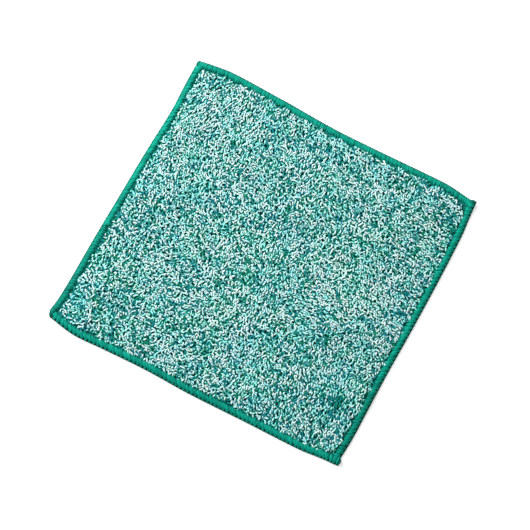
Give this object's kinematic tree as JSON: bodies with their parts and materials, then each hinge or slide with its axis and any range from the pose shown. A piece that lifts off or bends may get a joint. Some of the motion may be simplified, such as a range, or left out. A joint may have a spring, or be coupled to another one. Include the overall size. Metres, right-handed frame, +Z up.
{
  "type": "mini towel",
  "caption": "Small square towel of looped green and white melange terry, its cut edges overlocked in thick green thread, lying flat.",
  "frame": {"origin": "on the surface that the towel lies on, in the middle of the rectangle between its corners", "axes": "+Z up from the surface, +X along the front edge to the right, +Y from the front edge to the back edge"},
  "size_m": [0.2557, 0.2488, 0.0067],
  "materials": {
    "terry": "looped terry pile, green and white melange",
    "edging": "soft woolly overlock thread"
  },
  "bodies": {
    "root": {"terry_cloth": "terry", "edging_front": "edging", "edging_right": "edging", "edging_back": "edging", "edging_left": "edging"}
  },
  "joints": []
}
